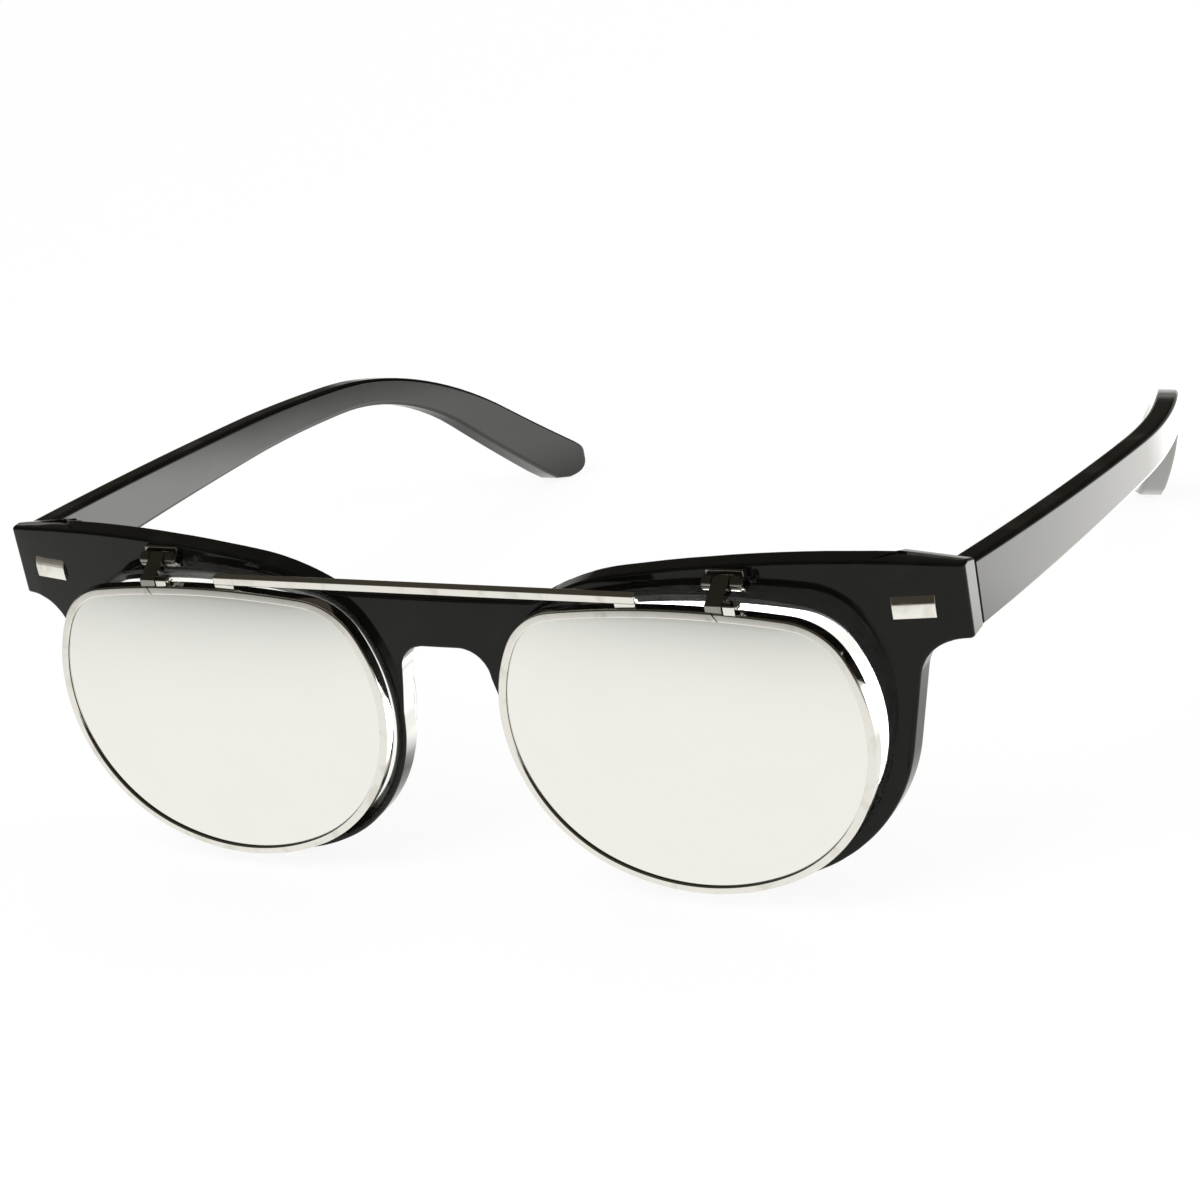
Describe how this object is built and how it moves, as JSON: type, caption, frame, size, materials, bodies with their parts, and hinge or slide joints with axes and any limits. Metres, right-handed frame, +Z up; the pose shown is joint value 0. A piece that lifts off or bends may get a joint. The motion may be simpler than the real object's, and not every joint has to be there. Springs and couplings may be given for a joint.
{
  "type": "flip up sunglasses",
  "caption": "Horn-rimmed plastic glasses with clear lenses and folding arms, and a wire-framed mirror-lens part that flips up on hinges at the brow.",
  "frame": {"origin": "on the table, under the middle of the box of the open glasses with the mirror lenses down", "axes": "+X is the wearer's left, -Y is the way the wearer looks, +Z is up"},
  "size_m": [0.153, 0.1388, 0.0478],
  "materials": {
    "black_plastic": "polished",
    "clear_plastic": "polished",
    "mirror_coat": "polished",
    "bright_metal": "polished",
    "hinge_steel": "satin",
    "dark_chrome": "polished",
    "chrome_wire": "polished"
  },
  "bodies": {
    "front": {"front_frame": "black_plastic", "right_clear_lens": "clear_plastic", "left_clear_lens": "clear_plastic", "right_plaque": "bright_metal", "left_plaque": "bright_metal", "right_front_hinge": "hinge_steel", "left_front_hinge": "hinge_steel", "right_hinge_screw": "hinge_steel", "left_hinge_screw": "hinge_steel", "right_flip_bracket": "dark_chrome", "left_flip_bracket": "dark_chrome", "right_flip_screw": "dark_chrome", "left_flip_screw": "dark_chrome"},
    "flip": {"right_flip_rim": "chrome_wire", "left_flip_rim": "chrome_wire", "right_mirror_lens": "mirror_coat", "left_mirror_lens": "mirror_coat", "brow_bar": "chrome_wire", "right_flip_tab": "dark_chrome", "left_flip_tab": "dark_chrome", "right_rim_screw": "chrome_wire", "left_rim_screw": "chrome_wire"},
    "right_arm": {"right_temple": "black_plastic", "right_temple_hinge": "hinge_steel"},
    "left_arm": {"left_temple": "black_plastic", "left_temple_hinge": "hinge_steel"}
  },
  "joints": [
    {"name": "flip_hinge", "type": "hinge", "parent": "front", "child": "flip", "pos_m": [0, -0.06323, 0.0458], "axis": [-1, 0, 0], "range_deg": [0, 90]},
    {"name": "right_temple_hinge", "type": "hinge", "parent": "front", "child": "right_arm", "pos_m": [-0.0675, -0.05092, 0.04005], "axis": [0, 0, -1], "range_deg": [0, 84]},
    {"name": "left_temple_hinge", "type": "hinge", "parent": "front", "child": "left_arm", "pos_m": [0.0675, -0.05092, 0.04005], "axis": [0, 0, 1], "range_deg": [0, 80]}
  ]
}
